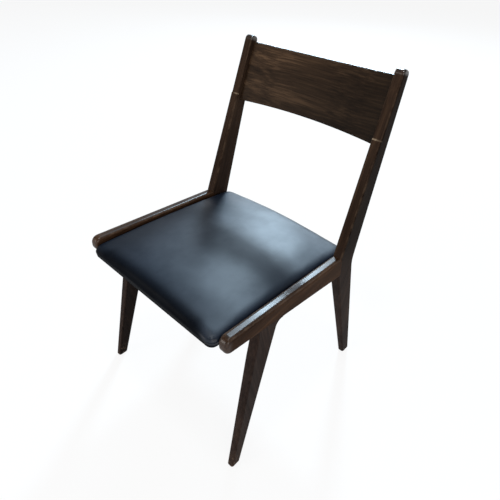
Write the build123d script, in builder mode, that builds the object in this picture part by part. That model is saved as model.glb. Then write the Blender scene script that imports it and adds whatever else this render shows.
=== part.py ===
from build123d import *
import math
import os

# Dining chair: two side frames, a curved back panel and an upholstered seat between the rails.
# Millimetres, +Z up, front toward -Y, +X on the right as seen from the front.
# Origin on the floor, under the middle of the overall depth.

# Side frames
overall_width = 478.0
frame_thickness = 25.0
housing_depth = 6.0
foot_thickness = 17.0
foot_taper_height = 305.0
foot_taper_blend = 500.0
foot_chamfer = 1.5

# Side rails
rail_length = 386.5
rail_top_front = 429.0
rail_front_height = 38.0
rail_rear_height = 59.0
rail_nose_radius = 16.5
rail_edge_round = 8.0
seat_angle = 4.0

# Front legs, placed from the front end of the rail
leg_set_back = 94.0
leg_top_depth = 60.0
leg_foot_set_back = 14.0
leg_foot_depth = 26.5
leg_blend_radius = 16.0
leg_edge_round = 5.5

# Rear posts, placed from their front face at the rail and along their lean
rear_foot_set_back = 91.0
rear_foot_depth = 30.0
back_lean = 20.2
upright_length = 461.0
upright_base_depth = 66.0
upright_top_depth = 27.5
upright_top_round = 11.0
ledge_depth = 2.0
kink_drop = 12.0
kink_round = 80.0
joint_round = 10.0
post_edge_round = 5.5

# Back panel, placed from the top of the upright, and the ledge just above its lower edge
panel_drop = 14.5
panel_height = 165.0
ledge_rise = 15.5
panel_thickness = 12.0
panel_set_back = 16.0
panel_hollow = 14.0
panel_arch = 9.0
panel_top_round = 5.5
panel_bottom_round = 3.0

# Seat pad, measured along and square to the line of the rail tops, its rear edge from their ends
seat_drop = 36.0
pad_side_gap = 1.5
pad_overhang = 12.0
pad_rear = 67.556
pad_corner_radius = 20.0
pad_edge_drop = 4.0
pad_crown = 16.0
pad_sweep = 3.0
pad_roll = 12.0
pad_shoulder = 14.0
pad_draw_angle = 12.0
cover_thickness = 1.0
cover_flange = 28.0
board_thickness = 12.0
dust_cover_margin = 5.0

# Cross rails, placed from the front ends of the side rails and from their rear ends, and corner blocks
cross_rail_thickness = 22.0
cross_rail_height = 40.0
cross_rail_round = 2.0
front_rail_place = 92.0
rear_rail_place = 22.556
block_leg = 84.0
block_height = 24.0
block_nose = 6.0

# Dowels
dowel_diameter = 10.0
dowel_length = 36.0
cross_dowel_diameter = 8.0
cross_dowel_length = 36.0
cross_dowel_in_frame = 14.0
panel_dowel_diameter = 6.0
panel_dowel_length = 28.0
panel_dowel_in_post = 13.0
rail_dowel_spacing = 28.0
leg_dowel_place = 15.0
leg_dowel_spacing = 22.0
cross_dowel_place = 12.0
cross_dowel_spacing = 18.0
panel_dowel_place = 40.0
dowel_chamfer = 0.8
dowel_end_gap = 0.6
fit_clearance = 0.05

# Screws and staples
screw_diameter = 4.0
screw_head_diameter = 8.0
screw_head_height = 2.4
screw_tip = 5.0
screw_tip_diameter = 0.8
block_screw_length = 28.0
block_screw_seat = 12.0
block_screw_place = 64.0
block_screw_drop = 5.0
seat_screw_length = 34.0
seat_screw_place = 24.0
staple_wire = 0.8
staple_crown = 10.0
staple_leg = 8.0
staple_inset = 12.0
staple_pitch = 50.0

# Derived places
half_width = overall_width / 2
inner_x = half_width - frame_thickness
middle_x = half_width - frame_thickness / 2
tilt_sin = math.sin(math.radians(seat_angle))
tilt_cos = math.cos(math.radians(seat_angle))
lean_sin = math.sin(math.radians(back_lean))
lean_cos = math.cos(math.radians(back_lean))
front_reach = pad_overhang * tilt_cos + pad_shoulder * tilt_sin
panel_top = upright_length - panel_drop
panel_bottom = panel_top - panel_height
ledge_height = panel_bottom + ledge_rise
panel_front = ledge_depth + panel_set_back
panel_rear = panel_front + panel_thickness
panel_reach = panel_top * lean_sin + (panel_rear + panel_hollow) * lean_cos
rear_reach = rail_length + panel_reach - panel_top_round * (lean_sin + lean_cos - 1)
rail_front_y = (front_reach - rear_reach) / 2
post_front_y = rail_front_y + rail_length
housing_y = post_front_y + housing_depth
rail_slope = tilt_sin / tilt_cos
underside_slope = rail_slope + (rail_rear_height - rail_front_height) / rail_length
rail_rear_top = rail_top_front - rail_length * rail_slope
rail_reach = rail_length / tilt_cos
rear_rail_front = rail_reach + rear_rail_place
leg_front_y = rail_front_y + leg_set_back
leg_rear_y = leg_front_y + leg_top_depth
leg_foot_y = rail_front_y + leg_foot_set_back
rear_foot_y = post_front_y + rear_foot_set_back
flange_bottom = staple_wire - seat_drop
board_bottom = flange_bottom + cover_thickness
board_top = board_bottom + board_thickness
pad_half_width = inner_x - pad_side_gap
pad_end = rail_reach + pad_rear
pad_length = pad_overhang + pad_end
pad_middle = (pad_end - pad_overhang) / 2
bottom_inset = -(flange_bottom + pad_shoulder) * math.tan(math.radians(pad_draw_angle))

# Working planes: the line of the rail tops, the lean of the back, and the right frame's inner face
seat_plane = Plane((0, rail_front_y, rail_top_front), (1, 0, 0), (0, tilt_sin, tilt_cos))
back_plane = Plane((0, post_front_y, rail_rear_top), (1, 0, 0), (0, lean_sin, lean_cos))
frame_plane = Plane.YZ.offset(inner_x)


def rail_top(y):
    return rail_top_front - (y - rail_front_y) * rail_slope


def rail_bottom(y):
    return rail_top_front - rail_front_height - (y - rail_front_y) * underside_slope


def on_upright(along, behind):
    # Side view point: along the upright from the rail top, and behind its front face.
    y = post_front_y + along * lean_sin + behind * lean_cos
    z = rail_rear_top + along * lean_cos - behind * lean_sin
    return (y, z)


def upright_depth(along):
    top_depth = ledge_depth + upright_top_depth
    return upright_base_depth + (top_depth - upright_base_depth) * along / upright_length


def nearest(shapes, *points):
    return [shapes.sort_by_distance(Vector(*point))[0] for point in points]


def side_edges(body, y, z):
    # The outer and inner edge that run past a point of the side view.
    return nearest(body.edges(), (half_width, y, z), (inner_x, y, z))


def drill(places, diameter, depth, way=Align.MIN):
    with Locations(*places):
        Cylinder(
            diameter / 2 + fit_clearance,
            depth + dowel_end_gap,
            align=(Align.CENTER, Align.CENTER, way),
            mode=Mode.SUBTRACT,
        )


def peg(places, diameter, length, ahead):
    # Dowels that reach ahead of each place by one length and behind it by the rest.
    for place in places:
        with Locations(place.offset(ahead)):
            Cylinder(diameter / 2, length, align=(Align.CENTER, Align.CENTER, Align.MAX))


def screw(places, length, clearance=0.0, mode=Mode.ADD):
    # Countersunk wood screws, head first at each place and pointing along its axis.
    shank = screw_diameter / 2 + clearance
    head = screw_head_diameter / 2 + clearance
    upright_align = (Align.CENTER, Align.CENTER, Align.MIN)
    for place in places:
        with Locations(place):
            Cone(head, shank, screw_head_height, align=upright_align, mode=mode)
            Cylinder(shank, length - screw_tip, align=upright_align, mode=mode)
        with Locations(place.offset(length - screw_tip)):
            Cone(shank, screw_tip_diameter / 2 + clearance, screw_tip, align=upright_align, mode=mode)


def seat_place(x, along, height, direction):
    return Plane(seat_plane.from_local_coords(Vector(x, along, height)), z_dir=direction)


def mirrored(vector):
    return Vector(-vector.X, vector.Y, vector.Z)


def both_sides(places):
    return places + [Plane(mirrored(place.origin), z_dir=mirrored(place.z_dir)) for place in places]


def save(body, name):
    body.part.label = name
    export_step(body.part, f"parts/{name}.step")


os.makedirs("parts", exist_ok=True)

# Joint places on the right side frame, each with its axis square to the joint face
rail_middle = (rail_top(housing_y) + rail_bottom(housing_y)) / 2
rail_post_joints = [
    Plane((middle_x, housing_y, rail_middle + side * rail_dowel_spacing / 2), z_dir=(0, 1, 0))
    for side in (-1, 1)
]
leg_joint_up = Vector(0, underside_slope, 1).normalized()
rail_leg_joints = [
    Plane(Vector(middle_x, y, rail_bottom(y)) + leg_joint_up * housing_depth, z_dir=leg_joint_up)
    for y in (leg_rear_y - leg_dowel_place, leg_rear_y - leg_dowel_place - leg_dowel_spacing)
]
cross_dowel_in_rail = cross_dowel_length - cross_dowel_in_frame
cross_dowel_drops = (cross_dowel_place, cross_dowel_place + cross_dowel_spacing)
front_rail_joints = [
    seat_place(inner_x, front_rail_place + cross_rail_thickness / 2, -seat_drop - drop, (1, 0, 0))
    for drop in cross_dowel_drops
]
rear_rail_joints = [
    seat_place(inner_x, rear_rail_front + cross_rail_thickness / 2, -seat_drop - drop, (1, 0, 0))
    for drop in cross_dowel_drops
]
panel_core = (panel_front + panel_rear) / 2
panel_dowel_in_panel = panel_dowel_length - panel_dowel_in_post
panel_joints = [
    Plane(back_plane.from_local_coords(Vector(inner_x, panel_core, along)), z_dir=(1, 0, 0))
    for along in (panel_bottom + panel_dowel_place, panel_top - panel_dowel_place)
]

# Wedge taken off the inner side of a leg, so that it narrows to the foot with a soft start
with BuildPart() as foot_taper:
    with BuildSketch(Plane.XZ) as taper_profile:
        with BuildLine():
            Polyline(
                (inner_x, 2 * foot_taper_height),
                (inner_x, foot_taper_height),
                (half_width - foot_thickness, 0),
                (inner_x - frame_thickness, 0),
                (inner_x - frame_thickness, 2 * foot_taper_height),
                close=True,
            )
        make_face()
        fillet(nearest(taper_profile.vertices(), (inner_x, foot_taper_height)), foot_taper_blend)
    extrude(amount=rail_length + upright_length, both=True)

# Front leg, blended into the rail behind it and let into the rail's underside
with BuildPart() as front_leg_right:
    wing_y = leg_rear_y + leg_blend_radius
    with BuildSketch(frame_plane) as leg_profile:
        with BuildLine():
            Polyline(
                (leg_foot_y, 0),
                (leg_front_y, rail_bottom(leg_front_y)),
                (leg_front_y, rail_top(leg_front_y)),
                (wing_y, rail_top(wing_y)),
                (wing_y, rail_bottom(wing_y)),
                (leg_rear_y, rail_bottom(leg_rear_y)),
                (leg_foot_y + leg_foot_depth, 0),
                close=True,
            )
        make_face()
        blend_corner = (leg_rear_y, rail_bottom(leg_rear_y))
        fillet(nearest(leg_profile.vertices(), blend_corner), leg_blend_radius)
    extrude(amount=frame_thickness)
    add(foot_taper.part, mode=Mode.SUBTRACT)
    middle_z = rail_bottom(leg_front_y) / 2
    front_edges = side_edges(front_leg_right, (leg_foot_y + leg_front_y) / 2, middle_z)
    rear_edges = side_edges(front_leg_right, (leg_foot_y + leg_foot_depth + leg_rear_y) / 2, middle_z)
    fillet(front_edges + rear_edges, leg_edge_round)
    split(bisect_by=rail_leg_joints[0], keep=Keep.BOTTOM)
    chamfer(front_leg_right.faces().sort_by(Axis.Z)[0].edges(), foot_chamfer)
    drill(rail_leg_joints, dowel_diameter, dowel_length, Align.CENTER)
    drill(front_rail_joints, cross_dowel_diameter, cross_dowel_in_frame)

# Places of the screws in the corner blocks: into the cross rail, into the side frame, up into the seat
front_corner = front_rail_place + cross_rail_thickness
corners = {
    "front_right": (1, front_corner, 1),
    "front_left": (-1, front_corner, 1),
    "rear_right": (1, rear_rail_front, -1),
    "rear_left": (-1, rear_rail_front, -1),
}


def block_screw_places(side, corner, inward):
    height = -seat_drop - block_screw_drop
    into_rail = seat_place(
        side * (inner_x - block_screw_place),
        corner + inward * block_screw_seat,
        height,
        seat_plane.y_dir * -inward,
    )
    into_frame = seat_place(
        side * (inner_x - block_screw_seat),
        corner + inward * block_screw_place,
        height,
        (side, 0, 0),
    )
    return [into_rail, into_frame]


def seat_screw_place_at(side, corner, inward):
    return seat_place(
        side * (inner_x - seat_screw_place),
        corner + inward * seat_screw_place,
        -seat_drop - block_height,
        seat_plane.z_dir,
    )


block_screw_planes = [place for corner in corners.values() for place in block_screw_places(*corner)]
seat_screw_planes = [seat_screw_place_at(*corner) for corner in corners.values()]

# Side rail, deeper at the rear, with a rounded nose
with BuildPart() as side_rail_right:
    with BuildSketch(frame_plane) as rail_profile:
        with BuildLine():
            Polyline(
                (rail_front_y, rail_top(rail_front_y)),
                (housing_y, rail_top(housing_y)),
                (housing_y, rail_bottom(housing_y)),
                (rail_front_y, rail_bottom(rail_front_y)),
                close=True,
            )
        make_face()
        fillet(rail_profile.vertices().group_by(Axis.X)[0], rail_nose_radius)
    extrude(amount=frame_thickness)
    fillet(side_edges(side_rail_right, leg_front_y, rail_top(leg_front_y)), rail_edge_round)
    add(front_leg_right.part, mode=Mode.SUBTRACT)
    drill(rail_leg_joints, dowel_diameter, dowel_length, Align.CENTER)
    drill(rail_post_joints, dowel_diameter, dowel_length, Align.CENTER)
    screw(block_screw_planes, block_screw_length, fit_clearance, Mode.SUBTRACT)


def post_blank(front):
    # Raked leg and leaning upright in one outline, whose front face is set back by a given depth.
    kink = on_upright(-kink_drop, upright_depth(-kink_drop))
    top_front = on_upright(upright_length, front)
    top_rear = on_upright(upright_length, upright_depth(upright_length))
    joint_bottom = (post_front_y, rail_bottom(post_front_y))
    joint_top = on_upright(0, front)
    with BuildPart() as blank:
        with BuildSketch(frame_plane) as profile:
            with BuildLine():
                Polyline(
                    (rear_foot_y, 0),
                    joint_bottom,
                    joint_top,
                    top_front,
                    top_rear,
                    kink,
                    (rear_foot_y + rear_foot_depth, 0),
                    close=True,
                )
            make_face()
            fillet(nearest(profile.vertices(), top_front, top_rear), upright_top_round)
            fillet(nearest(profile.vertices(), joint_bottom, joint_top), joint_round)
            fillet(nearest(profile.vertices(), kink), kink_round)
        extrude(amount=frame_thickness)
        add(foot_taper.part, mode=Mode.SUBTRACT)
        rear_middle = on_upright(upright_length / 2, upright_depth(upright_length / 2))
        fillet(side_edges(blank, *rear_middle), post_edge_round)
    return blank.part


# Rear post: its full outline up to the ledge, and above that the one set back
ledge_plane = back_plane.offset(ledge_height)
with BuildPart() as upper_post:
    add(post_blank(ledge_depth))
    split(bisect_by=ledge_plane, keep=Keep.TOP)

with BuildPart() as rear_post_right:
    add(post_blank(0))
    split(bisect_by=ledge_plane, keep=Keep.BOTTOM)
    add(upper_post.part)
    add(side_rail_right.part, mode=Mode.SUBTRACT)
    chamfer(rear_post_right.faces().sort_by(Axis.Z)[0].edges(), foot_chamfer)
    drill(rail_post_joints, dowel_diameter, dowel_length, Align.CENTER)
    drill(rear_rail_joints, cross_dowel_diameter, cross_dowel_in_frame)
    drill(panel_joints, panel_dowel_diameter, panel_dowel_in_post)

with BuildPart() as front_leg_left:
    mirror(front_leg_right.part, about=Plane.YZ)

with BuildPart() as side_rail_left:
    mirror(side_rail_right.part, about=Plane.YZ)

with BuildPart() as rear_post_left:
    mirror(rear_post_right.part, about=Plane.YZ)

# Back panel: a board hollowed across its width, with a rounded top and an arched lower edge
with BuildPart() as back_panel:
    with BuildSketch(back_plane.offset(panel_bottom)):
        with BuildLine():
            hollow_front = panel_front + panel_hollow
            hollow_rear = panel_rear + panel_hollow
            ThreePointArc((-inner_x, panel_front), (0, hollow_front), (inner_x, panel_front))
            Line((inner_x, panel_front), (inner_x, panel_rear))
            ThreePointArc((inner_x, panel_rear), (0, hollow_rear), (-inner_x, panel_rear))
            Line((-inner_x, panel_rear), (-inner_x, panel_front))
        make_face()
    extrude(amount=panel_top - panel_bottom)
    with BuildSketch(Plane(back_plane.origin, (1, 0, 0), back_plane.y_dir * -1)):
        with BuildLine():
            ThreePointArc((-inner_x, panel_bottom), (0, panel_bottom + panel_arch), (inner_x, panel_bottom))
            Line((inner_x, panel_bottom), (-inner_x, panel_bottom))
        make_face()
    extrude(amount=overall_width, both=True, mode=Mode.SUBTRACT)
    along_back = Axis(back_plane.origin, back_plane.z_dir)
    panel_edges = back_panel.edges().filter_by(lambda edge: edge.length > inner_x).sort_by(along_back)
    fillet(panel_edges[-2:], panel_top_round)
    panel_edges = back_panel.edges().filter_by(lambda edge: edge.length > inner_x).sort_by(along_back)
    fillet(panel_edges[:2], panel_bottom_round)
    drill(both_sides(panel_joints), panel_dowel_diameter, panel_dowel_in_panel, Align.MAX)


def cross_rail(place, joints):
    # A rail between the side frames, whose top carries the seat.
    with BuildPart() as rail:
        with BuildSketch(seat_plane.offset(-seat_drop)):
            with Locations((0, place + cross_rail_thickness / 2)):
                Rectangle(2 * inner_x, cross_rail_thickness)
        extrude(amount=-cross_rail_height)
        fillet(rail.edges().filter_by(Axis.X), cross_rail_round)
        drill(both_sides(joints), cross_dowel_diameter, cross_dowel_in_rail, Align.MAX)
        screw(block_screw_planes, block_screw_length, fit_clearance, Mode.SUBTRACT)
    return rail


def corner_block(side, corner, inward):
    # A glued block in the angle between a cross rail and a side frame.
    with BuildPart() as block:
        with BuildSketch(seat_plane.offset(-seat_drop)):
            with BuildLine():
                Polyline(
                    (side * inner_x, corner + inward * block_nose),
                    (side * inner_x, corner + inward * block_leg),
                    (side * (inner_x - block_leg), corner),
                    (side * (inner_x - block_nose), corner),
                    close=True,
                )
            make_face()
        extrude(amount=-block_height)
        places = block_screw_places(side, corner, inward)
        screw(places, block_screw_length, fit_clearance, Mode.SUBTRACT)
        drill(places, screw_head_diameter, block_leg, Align.MAX)
        screw([seat_screw_place_at(side, corner, inward)], seat_screw_length, fit_clearance, Mode.SUBTRACT)
    return block


front_cross_rail = cross_rail(front_rail_place, front_rail_joints)
rear_cross_rail = cross_rail(rear_rail_front, rear_rail_joints)
corner_blocks = {name: corner_block(*corner) for name, corner in corners.items()}


def pad_section(inset):
    with Locations((0, pad_middle)):
        RectangleRounded(2 * (pad_half_width - inset), pad_length - 2 * inset, pad_corner_radius)


def cushion(skin):
    # The pad's form, drawn in all round by a skin: crowned both ways, rolled at the top edge and
    # drawn in below its widest line.
    half_length = pad_length / 2
    sweep_radius = (half_length**2 + pad_sweep**2) / (2 * pad_sweep) - skin
    sweep_angle = 3 * math.degrees(math.asin(half_length / sweep_radius))
    sweep_centre = Vector(0, pad_middle, pad_crown - pad_edge_drop - skin - sweep_radius)
    cross_plane = Plane(seat_plane.from_local_coords(sweep_centre), (1, 0, 0), seat_plane.y_dir * -1)
    edge_radius = sweep_radius - pad_crown
    base_radius = edge_radius - seat_drop
    with BuildPart() as crown:
        with BuildSketch(cross_plane.rotated((-sweep_angle / 2, 0, 0))):
            with BuildLine():
                ThreePointArc((-inner_x, edge_radius), (0, sweep_radius), (inner_x, edge_radius))
                Line((inner_x, edge_radius), (inner_x, base_radius))
                Line((inner_x, base_radius), (-inner_x, base_radius))
                Line((-inner_x, base_radius), (-inner_x, edge_radius))
            make_face()
        revolve(axis=Axis(cross_plane.origin, (1, 0, 0)), revolution_arc=sweep_angle)
    with BuildPart() as form:
        with BuildSketch(seat_plane.offset(-pad_shoulder)):
            pad_section(skin)
        extrude(amount=pad_shoulder + pad_crown)
        add(crown.part, mode=Mode.INTERSECT)
        top_face = form.faces().sort_by(Axis(seat_plane.origin, seat_plane.z_dir))[-1]
        fillet(top_face.edges(), pad_roll - skin)
        with BuildSketch(seat_plane.offset(-pad_shoulder)):
            pad_section(skin)
        extrude(amount=flange_bottom + skin + pad_shoulder, taper=pad_draw_angle)
    return form.part


pad_form = cushion(0)
pad_filling = cushion(cover_thickness)

# Staples, set flush with the dust cover that they hold
with BuildPart(seat_plane.offset(-seat_drop)) as cover_staples:
    row_width = 2 * (pad_half_width - bottom_inset - staple_inset)
    row_length = pad_length - 2 * (bottom_inset + staple_inset)
    with Locations((0, pad_middle)):
        with GridLocations(staple_pitch, row_length, int(row_width / staple_pitch), 2):
            Box(staple_crown, staple_wire, staple_wire, align=(Align.CENTER, Align.CENTER, Align.MIN))
            with GridLocations(staple_crown - staple_wire, 0, 2, 1):
                Box(staple_wire, staple_wire, staple_leg, align=(Align.CENTER, Align.CENTER, Align.MIN))
        with GridLocations(row_width, staple_pitch, 2, int(row_length / staple_pitch)):
            Box(staple_wire, staple_crown, staple_wire, align=(Align.CENTER, Align.CENTER, Align.MIN))
            with GridLocations(0, staple_crown - staple_wire, 1, 2):
                Box(staple_wire, staple_wire, staple_leg, align=(Align.CENTER, Align.CENTER, Align.MIN))

# Leatherette cover, turned under the board in a flange
with BuildPart() as seat_cover:
    add(pad_form)
    add(pad_filling, mode=Mode.SUBTRACT)
    with BuildSketch(seat_plane.offset(board_bottom)):
        pad_section(bottom_inset + cover_flange)
    extrude(amount=-2 * cover_thickness, mode=Mode.SUBTRACT)
    add(cover_staples.part, mode=Mode.SUBTRACT)
    screw(seat_screw_planes, seat_screw_length, fit_clearance, Mode.SUBTRACT)

with BuildPart() as seat_foam:
    add(pad_filling)
    split(bisect_by=seat_plane.offset(board_top), keep=Keep.TOP)

with BuildPart() as seat_board:
    add(pad_filling)
    split(bisect_by=seat_plane.offset(board_top), keep=Keep.BOTTOM)
    add(cover_staples.part, mode=Mode.SUBTRACT)
    screw(seat_screw_planes, seat_screw_length, fit_clearance, Mode.SUBTRACT)

with BuildPart() as seat_dust_cover:
    with BuildSketch(seat_plane.offset(-seat_drop)):
        pad_section(bottom_inset + dust_cover_margin)
    extrude(amount=staple_wire)
    add(cover_staples.part, mode=Mode.SUBTRACT)
    screw(seat_screw_planes, seat_screw_length, fit_clearance, Mode.SUBTRACT)

with BuildPart() as seat_screws:
    screw(seat_screw_planes, seat_screw_length)

with BuildPart() as block_screws:
    screw(block_screw_planes, block_screw_length)


def dowels(joints, diameter, length, ahead):
    with BuildPart() as pegs:
        peg(both_sides(joints), diameter, length, ahead)
        chamfer(pegs.edges().filter_by(GeomType.CIRCLE), dowel_chamfer)
    return pegs


rail_post_dowels = dowels(rail_post_joints, dowel_diameter, dowel_length, dowel_length / 2)
rail_leg_dowels = dowels(rail_leg_joints, dowel_diameter, dowel_length, dowel_length / 2)
front_rail_dowels = dowels(
    front_rail_joints, cross_dowel_diameter, cross_dowel_length, cross_dowel_in_frame
)
rear_rail_dowels = dowels(rear_rail_joints, cross_dowel_diameter, cross_dowel_length, cross_dowel_in_frame)
panel_dowels = dowels(panel_joints, panel_dowel_diameter, panel_dowel_length, panel_dowel_in_post)

save(rear_post_right, "rear_post_right")
save(rear_post_left, "rear_post_left")
save(front_leg_right, "front_leg_right")
save(front_leg_left, "front_leg_left")
save(side_rail_right, "side_rail_right")
save(side_rail_left, "side_rail_left")
save(back_panel, "back_panel")
save(front_cross_rail, "front_cross_rail")
save(rear_cross_rail, "rear_cross_rail")
for name, block in corner_blocks.items():
    save(block, f"corner_block_{name}")
save(seat_cover, "seat_cover")
save(seat_foam, "seat_foam")
save(seat_board, "seat_board")
save(seat_dust_cover, "seat_dust_cover")
save(cover_staples, "cover_staples")
save(seat_screws, "seat_screws")
save(block_screws, "block_screws")
save(rail_post_dowels, "rail_post_dowels")
save(rail_leg_dowels, "rail_leg_dowels")
save(front_rail_dowels, "front_rail_dowels")
save(rear_rail_dowels, "rear_rail_dowels")
save(panel_dowels, "panel_dowels")
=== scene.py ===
import bpy
import bmesh
import math
import numpy as np
from mathutils import Matrix, Vector


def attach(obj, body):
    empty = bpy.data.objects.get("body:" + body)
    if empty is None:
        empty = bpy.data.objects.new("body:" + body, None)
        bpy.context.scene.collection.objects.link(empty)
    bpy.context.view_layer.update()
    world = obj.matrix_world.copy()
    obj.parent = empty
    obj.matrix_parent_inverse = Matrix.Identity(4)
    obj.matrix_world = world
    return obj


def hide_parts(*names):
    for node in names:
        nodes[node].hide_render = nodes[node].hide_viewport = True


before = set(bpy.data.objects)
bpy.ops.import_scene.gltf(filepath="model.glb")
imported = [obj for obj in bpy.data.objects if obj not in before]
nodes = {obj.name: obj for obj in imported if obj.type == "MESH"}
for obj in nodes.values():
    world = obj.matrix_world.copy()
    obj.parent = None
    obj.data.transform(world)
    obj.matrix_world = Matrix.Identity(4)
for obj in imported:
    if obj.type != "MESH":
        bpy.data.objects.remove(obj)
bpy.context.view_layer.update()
scene = bpy.context.scene
scene.view_settings.view_transform = "Standard"
print("frame loaded,", len(nodes), "nodes")

# the line of the rail tops: x across, u back along the rails, w square to them
seat = {"railFront": -0.28373, "railTop": 0.429, "tilt": 4.0}
seatOrigin = np.array([0.0, seat["railFront"], seat["railTop"]])
tilt = math.radians(seat["tilt"])
seatAxes = np.array([
    [1.0, 0.0, 0.0],
    [0.0, math.cos(tilt), -math.sin(tilt)],
    [0.0, math.sin(tilt), math.cos(tilt)],
])

# the lean of the uprights, from their front face at the rail
back = {
    "front": 0.10277,
    "base": 0.40197,
    "lean": 20.2,
    "ledge": 0.297,
    "panelTop": 0.4465,
    "panelHeight": 0.165,
    "top": 0.461,
}
backOrigin = (0.0, back["front"], back["base"])
lean = math.radians(back["lean"])
backUp = (0.0, math.sin(lean), math.cos(lean))
backBehind = (0.0, math.cos(lean), -math.sin(lean))

# the side frames' thickness, and how the legs narrow to the feet on the inside
side = {"middle": 0.2265, "half": 0.0125, "inner": 0.214, "footInner": 0.222, "taperHeight": 0.305}


def toSeat(points):
    return (points - seatOrigin) @ seatAxes.T


def fromSeat(points):
    return points @ seatAxes + seatOrigin


def readVectors(items, key):
    flat = np.empty(len(items) * 3)
    items.foreach_get(key, flat)
    return flat.reshape(-1, 3)


def writePoints(mesh, points):
    mesh.vertices.foreach_set("co", np.ascontiguousarray(points, dtype=np.float32).ravel())
    mesh.update()


def easeStep(value, low, high):
    t = np.clip((value - low) / (high - low), 0.0, 1.0)
    return t * t * (3.0 - 2.0 * t)


# node helpers
def newGroup(name, inputs, outputs):
    group = bpy.data.node_groups.new(name, "ShaderNodeTree")
    for label, kind, value in inputs:
        socket = group.interface.new_socket(name=label, in_out="INPUT", socket_type=kind)
        if value is not None:
            socket.default_value = value
    for label, kind in outputs:
        group.interface.new_socket(name=label, in_out="OUTPUT", socket_type=kind)
    start = group.nodes.new("NodeGroupInput")
    end = group.nodes.new("NodeGroupOutput")
    return group, start, end


def addNode(tree, kind, values=None, **links):
    node = tree.nodes.new(kind)
    for key, value in (values or {}).items():
        if hasattr(node, key):
            setattr(node, key, value)
        else:
            node.inputs[key].default_value = value
    for key, source in links.items():
        index = int(key[2:]) if key.startswith("in") else key
        tree.links.new(source, node.inputs[index])
    return node


def fillSockets(tree, node, pairs):
    for index, value in pairs:
        if isinstance(value, (int, float, tuple)):
            node.inputs[index].default_value = value
        elif value is not None:
            tree.links.new(value, node.inputs[index])


def mathNode(tree, operation, first, second=None, clamp=False):
    node = addNode(tree, "ShaderNodeMath", {"operation": operation, "use_clamp": clamp})
    fillSockets(tree, node, ((0, first), (1, second)))
    return node.outputs[0]


def mixColour(tree, factor, first, second, blend="MIX"):
    node = addNode(tree, "ShaderNodeMix", {"data_type": "RGBA", "blend_type": blend})
    fillSockets(tree, node, ((0, factor), (6, first), (7, second)))
    return node.outputs[2]


def mapRange(tree, value, low, high, toLow=0.0, toHigh=1.0, smooth=True):
    kind = "SMOOTHSTEP" if smooth else "LINEAR"
    node = addNode(tree, "ShaderNodeMapRange", {"interpolation_type": kind})
    fillSockets(tree, node, ((0, value), (1, low), (2, high), (3, toLow), (4, toHigh)))
    return node.outputs[0]


def scaleColour(tree, colour, factor):
    node = addNode(tree, "ShaderNodeVectorMath", {"operation": "SCALE"}, in0=colour)
    tree.links.new(factor, node.inputs["Scale"])
    return node.outputs[0]


def noiseAt(tree, vector, scale, detail=3.0, roughness=0.5, stretch=(1.0, 1.0, 1.0)):
    placed = addNode(tree, "ShaderNodeMapping", {"Scale": stretch}, in0=vector)
    values = {"Scale": scale, "Detail": detail, "Roughness": roughness}
    return addNode(tree, "ShaderNodeTexNoise", values, in0=placed.outputs[0]).outputs[0]


# how far a point lies from an origin along an axis
def reachAlong(tree, vector, origin, axis):
    moved = addNode(tree, "ShaderNodeVectorMath", {"operation": "SUBTRACT"}, in0=vector)
    moved.inputs[1].default_value = tuple(origin)
    dot = addNode(tree, "ShaderNodeVectorMath", {"operation": "DOT_PRODUCT"}, in0=moved.outputs[0])
    dot.inputs[1].default_value = tuple(axis)
    return dot.outputs["Value"]


# depth below the nearer side face of a side frame
def reachInside(tree, vector):
    x = addNode(tree, "ShaderNodeSeparateXYZ", in0=vector).outputs["X"]
    off = mathNode(tree, "SUBTRACT", mathNode(tree, "ABSOLUTE", x), side["middle"])
    return mathNode(tree, "SUBTRACT", side["half"], mathNode(tree, "ABSOLUTE", off))


def newMaterial(name):
    material = bpy.data.materials.new(name)
    material.use_nodes = True
    tree = material.node_tree
    tree.nodes.clear()
    output = tree.nodes.new("ShaderNodeOutputMaterial")
    shader = tree.nodes.new("ShaderNodeBsdfPrincipled")
    tree.links.new(shader.outputs[0], output.inputs[0])
    place = tree.nodes.new("ShaderNodeTexCoord").outputs["Object"]
    return material, tree, shader, place


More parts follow.
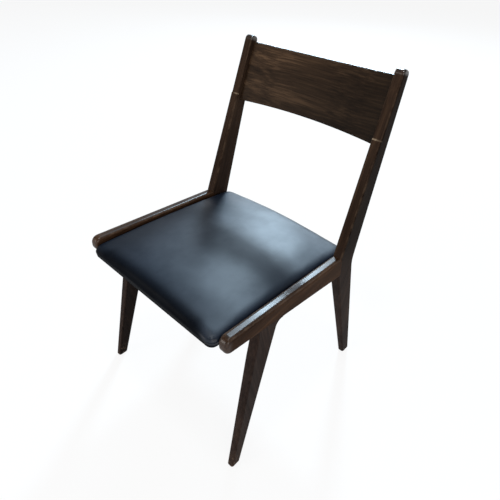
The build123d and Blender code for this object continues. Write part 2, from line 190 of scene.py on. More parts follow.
# stained grain: long streaks along the vector's z, slow figure, fine open pores
def makeGrain():
    group, start, end = newGroup(
        "stainedGrain",
        [
            ("Vector", "NodeSocketVector", None),
            ("Dark", "NodeSocketColor", (0.02, 0.012, 0.008, 1)),
            ("Middle", "NodeSocketColor", (0.045, 0.028, 0.019, 1)),
            ("Light", "NodeSocketColor", (0.085, 0.052, 0.033, 1)),
            ("Figure", "NodeSocketFloat", 0.6),
            ("Gloss", "NodeSocketFloat", 0.3),
        ],
        [("Colour", "NodeSocketColor"), ("Roughness", "NodeSocketFloat"), ("Height", "NodeSocketFloat")],
    )
    vector = start.outputs["Vector"]
    bend = addNode(group, "ShaderNodeTexNoise", {"Scale": 4.0, "Detail": 2.0}, in0=vector)
    offset = addNode(group, "ShaderNodeVectorMath", {"operation": "SCALE"}, in0=bend.outputs["Color"])
    offset.inputs["Scale"].default_value = 0.03
    bent = addNode(group, "ShaderNodeVectorMath", {"operation": "ADD"}, in0=vector, in1=offset.outputs[0])
    streak = noiseAt(group, bent.outputs[0], 1.0, 6.0, 0.62, (190.0, 190.0, 5.0))
    figure = noiseAt(group, bent.outputs[0], 1.0, 3.0, 0.5, (26.0, 26.0, 3.2))
    pore = noiseAt(group, vector, 1.0, 2.0, 0.5, (700.0, 700.0, 14.0))
    poreMask = mapRange(group, pore, 0.56, 0.7)
    figureSpread = mapRange(group, figure, 0.25, 0.75)
    streakSpread = mapRange(group, streak, 0.26, 0.74)
    share = start.outputs["Figure"]
    rest = mathNode(group, "SUBTRACT", 1.0, share)
    figurePart = mathNode(group, "MULTIPLY", figureSpread, share)
    tone = mathNode(group, "ADD", figurePart, mathNode(group, "MULTIPLY", streakSpread, rest))
    dark = start.outputs["Dark"]
    lowTone = mapRange(group, tone, 0.0, 0.5, smooth=False)
    highTone = mapRange(group, tone, 0.5, 1.0, smooth=False)
    lower = mixColour(group, lowTone, dark, start.outputs["Middle"])
    upper = mixColour(group, highTone, lower, start.outputs["Light"])
    pored = mixColour(group, mathNode(group, "MULTIPLY", poreMask, 0.5), upper, dark)
    group.links.new(pored, end.inputs["Colour"])
    rough = mathNode(group, "ADD", start.outputs["Gloss"], mathNode(group, "MULTIPLY", streakSpread, 0.06))
    rough = mathNode(group, "ADD", rough, mathNode(group, "MULTIPLY", poreMask, 0.08))
    group.links.new(rough, end.inputs["Roughness"])
    height = mathNode(group, "SUBTRACT", mathNode(group, "MULTIPLY", streak, 0.5), poreMask)
    group.links.new(height, end.inputs["Height"])
    return group


# wear along an arris, on the posts partly a painted highlight: strongest where both faces are near, broken
# up by soft patches
def makeArrisWear():
    group, start, end = newGroup(
        "arrisWear",
        [
            ("Vector", "NodeSocketVector", None),
            ("Across", "NodeSocketFloat", 0.0),
            ("Deep", "NodeSocketFloat", 0.0),
            ("Amount", "NodeSocketFloat", 0.5),
        ],
        [("Mask", "NodeSocketFloat")],
    )
    pair = addNode(group, "ShaderNodeCombineXYZ", X=start.outputs["Across"], Y=start.outputs["Deep"])
    length = addNode(group, "ShaderNodeVectorMath", {"operation": "LENGTH"}, in0=pair.outputs[0])
    near = mapRange(group, length.outputs["Value"], 0.0022, 0.0055, 1.0, 0.0)
    patch = mapRange(group, noiseAt(group, start.outputs["Vector"], 38.0, 4.0, 0.65), 0.38, 0.68)
    worn = mathNode(group, "MULTIPLY", near, patch)
    group.links.new(mathNode(group, "MULTIPLY", worn, start.outputs["Amount"]), end.inputs["Mask"])
    return group


grainGroup = makeGrain()
arrisGroup = makeArrisWear()


def placeGrain(tree, place, turn, shift, figure, gloss, colours):
    aligned = addNode(tree, "ShaderNodeMapping", {"Rotation": turn, "Location": shift}, in0=place)
    grain = addNode(tree, "ShaderNodeGroup", {"node_tree": grainGroup})
    tree.links.new(aligned.outputs[0], grain.inputs["Vector"])
    for label, colour in zip(("Dark", "Middle", "Light"), colours):
        grain.inputs[label].default_value = (*colour, 1)
    grain.inputs["Figure"].default_value = figure
    grain.inputs["Gloss"].default_value = gloss
    return grain


def placeArrisWear(tree, place, deep, amount):
    wear = addNode(tree, "ShaderNodeGroup", {"node_tree": arrisGroup})
    fillSockets(tree, wear, (("Vector", place), ("Deep", deep), ("Amount", amount)))
    tree.links.new(reachInside(tree, place), wear.inputs["Across"])
    return wear.outputs["Mask"]


# dark stain under an oil finish that is dull on the sides and polished where hands and legs rub it
stain = {
    "rail": ((0.0135, 0.0062, 0.0032), (0.04, 0.0198, 0.0103), (0.088, 0.044, 0.022)),
    "leg": ((0.009, 0.0056, 0.0045), (0.023, 0.0146, 0.0118), (0.044, 0.028, 0.021)),
    "panel": ((0.0062, 0.0031, 0.0016), (0.026, 0.0147, 0.008), (0.07, 0.041, 0.0228)),
    "aboveSeat": (1.05, 0.95, 0.76, 1),
    # painted shade on the posts' outer faces above the seat
    "outerFaceShade": 0.42,
    # painted shade on the legs' inner faces
    "innerFaceShade": 0.36,
    # painted light on the panel's left and top, painted shade to its right and bottom
    "panelLightLeftShadeRight": (1.36, 0.54),
    "panelLightTopShadeBottom": (0.72, 1.18),
    "gloss": 0.5,
    "specular": 0.02,
    "railPolish": (0.27, 0.47),
    "nosePolish": 0.4,
    "legPolish": 0.03,
    "hiddenPolish": 0.05,
    "panelPolish": (0.03, 0.9),
    "polishRoughness": {"rail": 0.3, "leg": 0.24, "panel": 0.32},
    "polishIor": 1.65,
    "railWear": 0.5,
    "postWearAndHighlight": 0.22,
    "footWear": 0.6,
    "bump": {"Strength": 0.12, "Distance": 0.0004},
    "worn": (0.15, 0.1, 0.065, 1),
    # partly bare wood, partly a painted highlight on the posts' ledge
    "ledgeBareAndHighlight": (0.42, 0.32, 0.22, 1),
}


def makeStainedWood(name, colours, turn, shift, figure, finish):
    material, tree, shader, place = newMaterial(name)
    grain = placeGrain(tree, place, turn, shift, figure, stain["gloss"], stain[colours])
    colour, polish = finish(tree, place, grain.outputs["Colour"])
    fillSockets(tree, shader, (("Base Color", colour), ("Coat Weight", polish)))
    tree.links.new(grain.outputs["Roughness"], shader.inputs["Roughness"])
    bump = addNode(tree, "ShaderNodeBump", stain["bump"], Height=grain.outputs["Height"])
    tree.links.new(bump.outputs[0], shader.inputs["Normal"])
    shader.inputs["Specular IOR Level"].default_value = stain["specular"]
    shader.inputs["Coat Roughness"].default_value = stain["polishRoughness"][colours]
    shader.inputs["Coat IOR"].default_value = stain["polishIor"]
    return material


# rails: polished tops and noses, light arrises
def finishRail(tree, place, colour):
    height = reachAlong(tree, place, seatOrigin, seatAxes[2])
    polish = mapRange(tree, height, -0.006, -0.0012)
    patch = noiseAt(tree, place, 24.0, 3.0, 0.6, (1.0, 0.35, 1.0))
    smear = mapRange(tree, patch, 0.3, 0.62, *stain["railPolish"])
    mask = placeArrisWear(tree, place, mathNode(tree, "MULTIPLY", height, -1.0), stain["railWear"])
    worn = mixColour(tree, mask, colour, stain["worn"])
    behindFront = reachAlong(tree, place, seatOrigin, seatAxes[1])
    nose = mapRange(tree, behindFront, 0.002, 0.022, stain["nosePolish"], 0.0)
    return worn, mathNode(tree, "MAXIMUM", mathNode(tree, "MULTIPLY", polish, smear), nose)


# legs: painted shade on the inner faces, only a trace of polish in streaks, scuffed feet
def finishLeg(tree, place, colour):
    streak = noiseAt(tree, place, 20.0, 3.0, 0.5, (1.0, 1.0, 0.2))
    height = addNode(tree, "ShaderNodeSeparateXYZ", in0=place).outputs["Z"]
    scuff = mapRange(tree, height, 0.004, 0.05, stain["footWear"], 0.0)
    scuff = mathNode(tree, "MULTIPLY", scuff, mapRange(tree, noiseAt(tree, place, 150.0, 4.0), 0.5, 0.7))
    x = mathNode(tree, "ABSOLUTE", addNode(tree, "ShaderNodeSeparateXYZ", in0=place).outputs["X"])
    inner = mapRange(tree, height, 0.0, side["taperHeight"], side["footInner"], side["inner"])
    inside = mathNode(tree, "SUBTRACT", x, inner)
    # painted shade: the legs' inner faces are darkened as if in the shade under the seat
    shaded = scaleColour(tree, colour, mapRange(tree, inside, 0.0005, 0.0035, stain["innerFaceShade"], 1.0))
    polish = mapRange(tree, streak, 0.4, 0.7, 0.0, stain["legPolish"])
    return mixColour(tree, scuff, shaded, stain["worn"]), polish


# posts: worn front arrises that partly serve as a painted highlight, painted shade on the outer faces
# above the seat, a ledge partly rubbed through to bare wood and partly a painted highlight, polished tops
def finishPost(tree, place, colour):
    along = reachAlong(tree, place, backOrigin, backUp)
    behind = reachAlong(tree, place, backOrigin, backBehind)
    # on the posts the lighter arris colour is partly wear and partly a painted highlight along the rounded
    # arrises
    mask = placeArrisWear(tree, place, mathNode(tree, "SUBTRACT", behind, 0.001), stain["postWearAndHighlight"])
    above = mapRange(tree, along, -0.06, 0.06)
    warmedAndShaded = mixColour(tree, above, colour, stain["aboveSeat"], "MULTIPLY")
    x = mathNode(tree, "ABSOLUTE", addNode(tree, "ShaderNodeSeparateXYZ", in0=place).outputs["X"])
    # painted shade: the posts' outer faces above the seat are darkened
    outer = mathNode(tree, "MULTIPLY", mapRange(tree, x, 0.2365, 0.2385), above)
    warmedAndShaded = scaleColour(tree, warmedAndShaded, mapRange(tree, outer, 0.0, 1.0, 1.0, stain["outerFaceShade"]))
    worn = mixColour(tree, mask, warmedAndShaded, stain["worn"])
    offLedge = mathNode(tree, "ABSOLUTE", mathNode(tree, "SUBTRACT", along, back["ledge"] - 0.0004))
    ledge = mapRange(tree, offLedge, 0.0006, 0.0026, 1.0, 0.0)
    ledge = mathNode(tree, "MULTIPLY", ledge, mapRange(tree, behind, 0.004, 0.008, 1.0, 0.0))
    ledge = mathNode(tree, "MULTIPLY", ledge, mapRange(tree, x, 0.224, 0.234, 1.0, 0.15))
    rubbed = mapRange(tree, noiseAt(tree, place, 55.0, 4.0, 0.6), 0.36, 0.62)
    # the ledge is partly rubbed to bare wood and partly a painted highlight where its upward face catches
    # light
    ledgeBareAndLit = mixColour(tree, mathNode(tree, "MULTIPLY", ledge, rubbed), worn, stain["ledgeBareAndHighlight"])
    return ledgeBareAndLit, mapRange(tree, along, back["top"] - 0.016, back["top"] - 0.006, 0.0, 1.0)


# panel: painted light on the left and at the top, painted shade to the right and at the bottom, a polished
# top edge
def finishPanel(tree, place, colour):
    along = reachAlong(tree, place, backOrigin, backUp)
    x = addNode(tree, "ShaderNodeSeparateXYZ", in0=place).outputs["X"]
    # painted light and shade: lighter to the left and top, darker to the right and bottom
    tone = mapRange(tree, x, -0.2, 0.2, *stain["panelLightLeftShadeRight"])
    bottom = back["panelTop"] - back["panelHeight"]
    rise = mapRange(tree, along, bottom, back["panelTop"], *stain["panelLightTopShadeBottom"])
    tone = mathNode(tree, "MULTIPLY", tone, rise)
    edge = back["panelTop"] - 0.006
    polish = mapRange(tree, along, edge, edge + 0.004, *stain["panelPolish"])
    return scaleColour(tree, colour, tone), polish


def finishHidden(tree, place, colour):
    return colour, mapRange(tree, noiseAt(tree, place, 20.0), 0.4, 0.7, 0.0, stain["hiddenPolish"])


def dress(material, *names):
    for name in names:
        mesh = nodes[name].data
        mesh.materials.clear()
        mesh.materials.append(material)


lengthwise = (math.radians(90 - seat["tilt"]), 0, 0)
crosswise = (0, math.radians(90), 0)
railWood = makeStainedWood("railWood", "rail", lengthwise, (0, 0, 0), 0.55, finishRail)
legWood = makeStainedWood("legWood", "leg", (math.radians(-13), 0, 0), (0.3, 0.1, 0), 0.5, finishLeg)
postWood = makeStainedWood("postWood", "leg", (lean, 0, 0), (0.1, 0.7, 0.2), 0.5, finishPost)
panelWood = makeStainedWood("panelWood", "panel", crosswise, (0, 0.4, 0.1), 0.42, finishPanel)
crossWood = makeStainedWood("crossRailWood", "leg", crosswise, (0.4, 0, 0.6), 0.5, finishHidden)
dress(railWood, "side_rail_left", "side_rail_right")
dress(legWood, "front_leg_left", "front_leg_right")
dress(postWood, "rear_post_left", "rear_post_right")
dress(panelWood, "back_panel")
dress(crossWood, "front_cross_rail", "rear_cross_rail")
print("stained wood done")


# bare wood, cloth and steel of the unseen pieces
def makeBareWood(name, colours, turn):
    material, tree, shader, place = newMaterial(name)
    grain = placeGrain(tree, place, turn, (0, 0, 0), 0.5, 0.55, colours)
    tree.links.new(grain.outputs["Colour"], shader.inputs["Base Color"])
    tree.links.new(grain.outputs["Roughness"], shader.inputs["Roughness"])
    bumpValues = {"Strength": 0.2, "Distance": 0.0005}
    bump = addNode(tree, "ShaderNodeBump", bumpValues, Height=grain.outputs["Height"])
    tree.links.new(bump.outputs[0], shader.inputs["Normal"])
    return material


beechTones = ((0.13, 0.07, 0.032), (0.19, 0.11, 0.055), (0.26, 0.16, 0.085))
plyTones = ((0.32, 0.21, 0.11), (0.41, 0.285, 0.16), (0.5, 0.36, 0.21))
beech = makeBareWood("bareBeech", beechTones, crosswise)
dress(beech, *[name for name in nodes if name.startswith("corner_block") or name.endswith("dowels")])
dress(makeBareWood("plywood", plyTones, crosswise), "seat_board")


def makeDustCloth():
    material, tree, shader, place = newMaterial("dustCloth")
    fibre = noiseAt(tree, place, 700.0, 5.0, 0.7)
    dots = addNode(tree, "ShaderNodeTexVoronoi", {"Scale": 420.0}, in0=place)
    spread = mathNode(tree, "MULTIPLY", fibre, mapRange(tree, dots.outputs["Distance"], 0.1, 0.45))
    colour = mixColour(tree, spread, (0.012, 0.012, 0.013, 1), (0.05, 0.05, 0.052, 1))
    tree.links.new(colour, shader.inputs["Base Color"])
    bump = addNode(tree, "ShaderNodeBump", {"Strength": 0.4, "Distance": 0.0003}, Height=spread)
    tree.links.new(bump.outputs[0], shader.inputs["Normal"])
    shader.inputs["Roughness"].default_value = 0.9
    return material


def makeSteel():
    material, tree, shader, place = newMaterial("zincSteel")
    cloud = noiseAt(tree, place, 260.0, 4.0)
    colour = mixColour(tree, cloud, (0.42, 0.42, 0.4, 1), (0.62, 0.61, 0.57, 1))
    tree.links.new(colour, shader.inputs["Base Color"])
    tree.links.new(mapRange(tree, cloud, 0.2, 0.8, 0.25, 0.42), shader.inputs["Roughness"])
    shader.inputs["Metallic"].default_value = 1.0
    return material


dress(makeDustCloth(), "seat_dust_cover")
dress(makeSteel(), "cover_staples", "seat_screws", "block_screws")
print("unseen pieces done")

# black leatherette: pebbled, slow waves in the skin, polished on top with a painted blue sheen in its
# colour, least in front and at left
leatherette = {
    "deep": (0.002, 0.0026, 0.004, 1),
    "rubbed": (0.0036, 0.0046, 0.0066, 1),
    # painted sheen colour, mixed in where the top is polished
    "crown": (0.0023, 0.0088, 0.0215, 1),
    "roughness": 0.45,
    "specular": 0.01,
    "polish": 0.87,
    "polishRoughness": 0.47,
    "frontEdge": 0.02,
    "leftPart": 0.36,
    "rearPart": 1.14,
    "belowShoulder": 0.03,
    "waves": {"Strength": 0.5, "Distance": 0.0012},
    "pebbles": {"Strength": 0.04, "Distance": 0.0003},
}


def makeLeatherette():
    material, tree, shader, place = newMaterial("blackLeatherette")
    pebble = addNode(tree, "ShaderNodeTexVoronoi", {"Scale": 900.0}, in0=place).outputs["Distance"]
    crease = noiseAt(tree, place, 420.0, 4.0)
    wave = noiseAt(tree, place, 14.0, 2.0)
    cloud = mapRange(tree, noiseAt(tree, place, 16.0, 5.0, 0.6), 0.3, 0.7)
    scuff = mapRange(tree, noiseAt(tree, place, 60.0, 4.0, 0.6, (1.0, 0.25, 1.0)), 0.5, 0.72)
    low = leatherette["roughness"]
    tree.links.new(mapRange(tree, cloud, 0.0, 1.0, low, low + 0.08), shader.inputs["Roughness"])
    behindFront = reachAlong(tree, place, seatOrigin, seatAxes[1])
    x = addNode(tree, "ShaderNodeSeparateXYZ", in0=place).outputs["X"]
    corner = mapRange(tree, mathNode(tree, "ABSOLUTE", x), 0.15, 0.205, 0.0, 0.05)
    reach = mathNode(tree, "ADD", behindFront, corner)
    polish = mapRange(tree, reach, -0.012, 0.035, leatherette["frontEdge"], leatherette["polish"])
    scuffed = mathNode(tree, "ADD", cloud, mathNode(tree, "MULTIPLY", scuff, 0.25))
    smear = mapRange(tree, scuffed, 0.0, 1.25, 1.0, 0.82)
    fromLeft = mathNode(tree, "ADD", x, mapRange(tree, behindFront, 0.26, 0.4, 0.0, 0.16))
    leftPart = mapRange(tree, fromLeft, -0.21, -0.05, leatherette["leftPart"], 1.0)
    rearPart = mapRange(tree, behindFront, 0.33, 0.42, 1.0, leatherette["rearPart"])
    nearRight = mapRange(tree, x, 0.165, 0.205, 0.0, 0.012)
    height = mathNode(tree, "ADD", reachAlong(tree, place, seatOrigin, seatAxes[2]), nearRight)
    topPart = mapRange(tree, height, -0.02, -0.006, leatherette["belowShoulder"], 1.0)
    for part in (leftPart, rearPart, topPart):
        smear = mathNode(tree, "MULTIPLY", smear, part)
    sheen = mathNode(tree, "MULTIPLY", polish, smear)
    colour = mixColour(tree, cloud, leatherette["deep"], leatherette["rubbed"])
    # painted sheen: the base colour turns bluer where the top is polished, standing in for a bluish
    # reflection
    colour = mixColour(tree, sheen, colour, leatherette["crown"])
    fillSockets(tree, shader, (("Base Color", colour), ("Coat Weight", sheen)))
    fine = mathNode(tree, "ADD", mathNode(tree, "MULTIPLY", pebble, 0.6), crease)
    slow = addNode(tree, "ShaderNodeBump", leatherette["waves"], Height=wave)
    skin = addNode(tree, "ShaderNodeBump", leatherette["pebbles"], Height=fine, Normal=slow.outputs[0])
    tree.links.new(skin.outputs[0], shader.inputs["Normal"])
    shader.inputs["Specular IOR Level"].default_value = leatherette["specular"]
    shader.inputs["Coat Roughness"].default_value = leatherette["polishRoughness"]
    return material


padSkin = makeLeatherette()

# the padded seat, in seat coordinates: plan outline, crown across and along, how it is swelled
pad = {
    "halfWidth": 0.2125,
    "front": -0.012,
    "rear": 0.455,
    "corner": 0.02,
    "topRise": 0.012,
    "crown": 0.016,
    "crownHalf": 0.214,
    "sweep": 0.003,
    "shoulder": -0.014,
    "bottom": -0.0352,
    "draw": 12.0,
    "voxel": 0.005,
    "pressure": 4.0,
    "frames": 20,
    "cap": 0.002,
    "roll": 0.009,
    "heldBelow": -0.02,
    "skin": 0.0012,
    "sideLimit": 0.2134,
    "easeShape": 16,
    "easeSwell": 60,
    "weld": 0.00002,
    "heldBand": 0.006,
    "topMargin": (0.012, 0.03),
    "topAbove": -0.008,
    "rollBand": (-0.022, -0.004),
    "skinInset": 0.001,
    "hemRoom": 0.0011,
}


padMiddle = (pad["front"] + pad["rear"]) / 2
padHalf = (pad["rear"] - pad["front"]) / 2


# height of the crowned top: an arc across, swept round a much larger arc from front to rear
def crownHeight(x, u):
    across = (pad["crownHalf"] ** 2 + pad["crown"] ** 2) / (2 * pad["crown"])
    along = (padHalf ** 2 + pad["sweep"] ** 2) / (2 * pad["sweep"])
    fall = across - np.sqrt(across ** 2 - np.minimum(np.abs(x), pad["crownHalf"]) ** 2)
    return pad["topRise"] - along + np.sqrt((along - fall) ** 2 - (u - padMiddle) ** 2)


# the skin pulled down over the front and rear edges: a cubic fall from the middle, less at the sides
def rollDepth(x, u):
    reach = np.clip(np.abs(u - padMiddle) / padHalf, 0.0, 1.0)
    return pad["roll"] * reach ** 3 * (1.0 - 0.6 * np.clip(x / pad["halfWidth"], -1.0, 1.0) ** 2)


# each round moves a field halfway to the mean of its neighbours, except where it is held
def easeField(mesh, field, rounds, free):
    pairs = np.empty(len(mesh.edges) * 2, dtype=np.int64)
    mesh.edges.foreach_get("vertices", pairs)
    first, second = pairs.reshape(-1, 2).T
    count = np.bincount(pairs, minlength=len(field)).astype(float)[:, None]
    for turn in range(rounds):
        total = np.zeros_like(field)
        np.add.at(total, first, field[second])
        np.add.at(total, second, field[first])
        field = field + 0.5 * free[:, None] * (total / count - field)
    return field


def applyModifiers(piece):
    graph = bpy.context.evaluated_depsgraph_get()
    done = bpy.data.meshes.new_from_object(piece.evaluated_get(graph), depsgraph=graph)
    piece.modifiers.clear()
    old = piece.data
    piece.data = done
    bpy.data.meshes.remove(old)


# how far cloth pressure moves each point off the filling, capped
def swellPad(piece, shape, free):
    held = piece.vertex_groups.new(name="held")
    level = np.round((1.0 - free) * 4).astype(int)
    for step in range(1, 5):
        held.add(np.nonzero(level == step)[0].tolist(), step / 4, "REPLACE")
    cloth = piece.modifiers.new("swell", "CLOTH")
    cloth.settings.use_pressure = True
    cloth.settings.uniform_pressure_force = pad["pressure"]
    cloth.settings.effector_weights.gravity = 0.0
    cloth.settings.vertex_group_mass = "held"
    cloth.point_cache.frame_start = 1
    cloth.point_cache.frame_end = pad["frames"]
    for step in range(1, pad["frames"] + 1):
        scene.frame_set(step)
    applyModifiers(piece)
    scene.frame_set(1)
    moved = readVectors(piece.data.vertices, "co") - shape
    reach = np.linalg.norm(moved, axis=1, keepdims=True)
    most, mean = float(reach.max()) * 1000, float(reach.mean()) * 1000
    print("pad swelled, most", round(most, 2), "mm, mean", round(mean, 2), "mm")
    return moved * np.minimum(1.0, pad["cap"] / np.maximum(reach, 1e-9))


def makeSeatPad():
    joined = bmesh.new()
    for name in ("seat_foam", "seat_board"):
        joined.from_mesh(nodes[name].data)
    bmesh.ops.remove_doubles(joined, verts=joined.verts, dist=pad["weld"])
    mesh = bpy.data.meshes.new("seatPad")
    joined.to_mesh(mesh)
    joined.free()
    piece = bpy.data.objects.new("seatPad", mesh)
    scene.collection.objects.link(piece)
    bpy.context.view_layer.objects.active = piece
    remesh = piece.modifiers.new("even", "REMESH")
    remesh.mode = "VOXEL"
    remesh.voxel_size = pad["voxel"]
    applyModifiers(piece)
    rest = readVectors(piece.data.vertices, "co")
    local = toSeat(rest)
    free = np.clip((local[:, 2] - pad["heldBelow"]) / pad["heldBand"], 0.0, 1.0)
    shape = easeField(piece.data, rest, pad["easeShape"], free)
    # well inside the edge, the top lies on the crown itself, so that its gloss has no steps
    local = toSeat(shape)
    x, u, w = local.T
    margin = np.minimum(pad["halfWidth"] - np.abs(x), np.minimum(u - pad["front"], pad["rear"] - u))
    onTop = easeStep(margin, *pad["topMargin"]) * (w > pad["topAbove"])
    drawn = rollDepth(x, u)
    eased = w - drawn * easeStep(w, *pad["rollBand"])
    local[:, 2] = eased + onTop * (crownHeight(x, u) - drawn - pad["skinInset"] - eased)
    shape = fromSeat(local)
    writePoints(piece.data, shape)
    swell = swellPad(piece, shape, free)
    shape = shape + easeField(piece.data, swell, pad["easeSwell"], free)
    writePoints(piece.data, shape)
    local = toSeat(shape + readVectors(piece.data.vertices, "normal") * pad["skin"])
    local[:, 0] = np.clip(local[:, 0], -pad["sideLimit"], pad["sideLimit"])
    local[:, 2] = np.maximum(local[:, 2], pad["bottom"] + pad["hemRoom"])
    writePoints(piece.data, fromSeat(local))
    finer = piece.modifiers.new("finer", "SUBSURF")
    finer.levels = 1
    finer.render_levels = 1
    piece.data.polygons.foreach_set("use_smooth", np.ones(len(piece.data.polygons), dtype=bool))
    piece.data.materials.clear()
    piece.data.materials.append(padSkin)
    return piece


seatPad = makeSeatPad()
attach(seatPad, "root")
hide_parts("seat_cover", "seat_foam")
print("seat pad done,", len(seatPad.data.polygons), "faces")

# the hem: leatherette drawn down over the board's edge and turned under it
hem = {
    "from": -0.022,
    "turn": 0.0015,
    "under": 0.028,
    "thick": 0.0009,
    "arcPoints": 9,
    "leastRadius": 0.004,
}


# rounded rectangle of the pad's plan, drawn in by an inset: four corner arcs in order
def padOutline(inset):
    angle = np.linspace(0.0, math.pi / 2, hem["arcPoints"])
    corners = ((1, 1, 0), (-1, 1, 1), (-1, -1, 2), (1, -1, 3))
    radius = max(pad["corner"] - inset, hem["leastRadius"])
    reach = np.array([pad["halfWidth"] - inset - radius, padHalf - inset - radius])
    rings = []
    for sx, su, turn in corners:
        arc = angle + turn * math.pi / 2
        across = sx * reach[0] + radius * np.cos(arc)
        rings.append(np.stack([across, su * reach[1] + radius * np.sin(arc)], 1))
    ring = np.concatenate(rings)
    ring[:, 1] += padMiddle
    return ring


# a closed profile of inset and height carried round that outline
def makeHem():
    slope = math.tan(math.radians(pad["draw"]))
    sideInset = (pad["shoulder"] - hem["from"]) * slope
    lowInset = (pad["shoulder"] - pad["bottom"]) * slope
    turn = hem["turn"]
    thick = hem["thick"]
    profile = [
        (sideInset, hem["from"]),
        (lowInset - turn * slope, pad["bottom"] + turn),
        (lowInset + turn * 0.3, pad["bottom"] + turn * 0.3),
        (lowInset + turn, pad["bottom"]),
        (lowInset + hem["under"], pad["bottom"]),
        (lowInset + hem["under"], pad["bottom"] + thick),
        (lowInset + turn + thick, pad["bottom"] + thick),
        (sideInset + thick, hem["from"]),
    ]
    rows = [np.column_stack([padOutline(inset), np.full(hem["arcPoints"] * 4, w)]) for inset, w in profile]
    points = fromSeat(np.concatenate(rows))
    around = hem["arcPoints"] * 4
    row, column = np.meshgrid(np.arange(len(profile)), np.arange(around), indexing="ij")
    nextRow = (row + 1) % len(profile)
    nextColumn = (column + 1) % around
    faces = np.stack([
        row * around + column,
        nextRow * around + column,
        nextRow * around + nextColumn,
        row * around + nextColumn,
    ], axis=-1).reshape(-1, 4)
    mesh = bpy.data.meshes.new("seatHem")
    mesh.from_pydata(points.tolist(), [], faces.tolist())
    turned = bmesh.new()
    turned.from_mesh(mesh)
    bmesh.ops.recalc_face_normals(turned, faces=turned.faces)
    turned.to_mesh(mesh)
    turned.free()
    mesh.materials.append(padSkin)
    piece = bpy.data.objects.new("seatHem", mesh)
    scene.collection.objects.link(piece)
    return piece


seatHem = makeHem()
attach(seatHem, "root")
print("seat hem done")

# pale floor, lifted to white where it is seen, mirrored or looked through, so that a soft shadow stays
floor = {"size": 40.0, "colour": (0.8, 0.8, 0.8, 1), "lift": 0.9}


def makeFloor():
    half = floor["size"] / 2
    corners = np.array([[-half, -half, 0.0], [half, -half, 0.0], [half, half, 0.0], [-half, half, 0.0]])
    mesh = bpy.data.meshes.new("studioFloor")
    mesh.from_pydata(corners.tolist(), [], [[0, 1, 2, 3]])
    piece = bpy.data.objects.new("studioFloor", mesh)
    scene.collection.objects.link(piece)
    material = bpy.data.materials.new("paleFloor")
    material.use_nodes = True
    tree = material.node_tree
    tree.nodes.clear()
    output = tree.nodes.new("ShaderNodeOutputMaterial")
    plain = addNode(tree, "ShaderNodeBsdfDiffuse", {"Color": floor["colour"]})
    white = addNode(tree, "ShaderNodeEmission", {"Color": (1, 1, 1, 1), "Strength": 1.0})
    path = tree.nodes.new("ShaderNodeLightPath").outputs
    seen = mathNode(tree, "ADD", path["Is Camera Ray"], path["Is Glossy Ray"], clamp=True)
    seen = mathNode(tree, "ADD", seen, path["Is Transmission Ray"], clamp=True)
    mix = tree.nodes.new("ShaderNodeMixShader")
    lift = mathNode(tree, "MULTIPLY", seen, floor["lift"])
    fillSockets(tree, mix, ((0, lift), (1, plain.outputs[0]), (2, white.outputs[0])))
    tree.links.new(mix.outputs[0], output.inputs[0])
    mesh.materials.append(material)
    return piece


makeFloor()

# room: white round the horizon, dim overhead, a tall cool window behind the chair on the left
room = {
    "horizon": (1.0, 1.0, 1.0, 1),
    "overhead": (0.1, 0.105, 0.115, 1),
    "whiteUpTo": 0.2,
    "dimFrom": 0.52,
    "window": (0.64, 0.83, 1.05, 1),
    "windowFrom": (-0.47, 0.88, 0.0),
    "windowNarrow": 18.0,
    "windowFoot": (0.1, 0.3),
    "windowHead": (0.7, 0.95),
}


def makeRoom():
    world = bpy.data.worlds.new("studioRoom")
    scene.world = world
    world.use_nodes = True
    tree = world.node_tree
    tree.nodes.clear()
    output = tree.nodes.new("ShaderNodeOutputWorld")
    toward = tree.nodes.new("ShaderNodeTexCoord").outputs["Generated"]
    rise = addNode(tree, "ShaderNodeSeparateXYZ", in0=toward).outputs["Z"]
    dimming = mapRange(tree, rise, room["whiteUpTo"], room["dimFrom"])
    walls = mixColour(tree, dimming, room["horizon"], room["overhead"])
    flat = addNode(tree, "ShaderNodeVectorMath", {"operation": "MULTIPLY"}, in0=toward)
    flat.inputs[1].default_value = (1, 1, 0)
    level = addNode(tree, "ShaderNodeVectorMath", {"operation": "NORMALIZE"}, in0=flat.outputs[0])
    dot = reachAlong(tree, level.outputs[0], (0, 0, 0), Vector(room["windowFrom"]).normalized())
    width = mathNode(tree, "POWER", mathNode(tree, "MAXIMUM", dot, 0.0), room["windowNarrow"])
    foot = mapRange(tree, rise, *room["windowFoot"])
    head = mapRange(tree, rise, *room["windowHead"], 1.0, 0.0)
    pane = mathNode(tree, "MULTIPLY", width, mathNode(tree, "MULTIPLY", foot, head))
    window = mixColour(tree, pane, (0, 0, 0, 1), room["window"])
    light = mixColour(tree, 1.0, walls, window, "ADD")
    studio = addNode(tree, "ShaderNodeBackground", {"Strength": 1.0}, Color=light)
    tree.links.new(studio.outputs[0], output.inputs[0])


makeRoom()

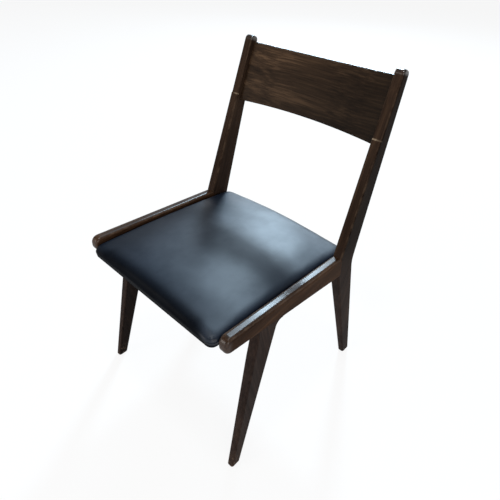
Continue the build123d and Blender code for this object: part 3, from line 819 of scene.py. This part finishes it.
# softboxes: place, point they face, width, height, watts, colour
softboxes = {
    "windowHigh": ((-1.83, 3.31, 3.63), (0.0, -0.06, 0.42), 0.55, 0.55, 260.0, (0.64, 0.84, 1.0)),
    "windowLow": ((-2.39, 3.91, 2.29), (0.0, -0.06, 0.42), 0.9, 1.2, 80.0, (0.64, 0.84, 1.0)),
    "overhead": ((0.2, -0.4, 2.9), (0.1, -0.2, 0.43), 0.35, 0.35, 20.0, (0.95, 0.98, 1.0)),
    "frontRight": ((2.4, -1.6, 1.7), (0.0, 0.0, 0.45), 1.4, 1.4, 36.0, (1.0, 0.93, 0.86)),
    "frontLeft": ((-1.3, -2.7, 1.4), (0.0, 0.1, 0.6), 1.2, 1.2, 30.0, (1.0, 0.94, 0.88)),
}


def makeSoftboxes():
    for name, (spot, aim, width, height, watts, colour) in softboxes.items():
        lamp = bpy.data.lights.new(name, "AREA")
        lamp.shape = "RECTANGLE"
        lamp.size = width
        lamp.size_y = height
        lamp.energy = watts
        lamp.color = colour
        holder = bpy.data.objects.new(name, lamp)
        holder.location = spot
        holder.rotation_euler = (Vector(aim) - Vector(spot)).to_track_quat("-Z", "Y").to_euler()
        scene.collection.objects.link(holder)


makeSoftboxes()
print("studio done")

# viewing place fitted to the photograph's frame, 500 by 500
viewer = {
    "place": (0.666097, -0.693703, 1.110413),
    "azimuth": 42.511,
    "elevation": 30.138,
    "roll": 1.177,
    "lens": 33.282,
    "shiftY": -0.128,
    "sensor": 36.0,
    "clip": (0.05, 100.0),
}


def makeViewer():
    data = bpy.data.cameras.new("viewer")
    data.sensor_width = viewer["sensor"]
    data.lens = viewer["lens"]
    data.shift_y = viewer["shiftY"]
    data.clip_start, data.clip_end = viewer["clip"]
    data.dof.use_dof = False
    camera = bpy.data.objects.new("viewer", data)
    a, e, r = (math.radians(viewer[key]) for key in ("azimuth", "elevation", "roll"))
    backward = Vector((math.sin(a) * math.cos(e), -math.cos(a) * math.cos(e), math.sin(e)))
    right = Vector((math.cos(a), math.sin(a), 0.0))
    up = backward.cross(right)
    across = right * math.cos(r) + up * math.sin(r)
    upward = up * math.cos(r) - right * math.sin(r)
    turn = Matrix((across, upward, backward)).transposed().to_4x4()
    camera.matrix_world = Matrix.Translation(viewer["place"]) @ turn
    scene.collection.objects.link(camera)
    scene.camera = camera


makeViewer()
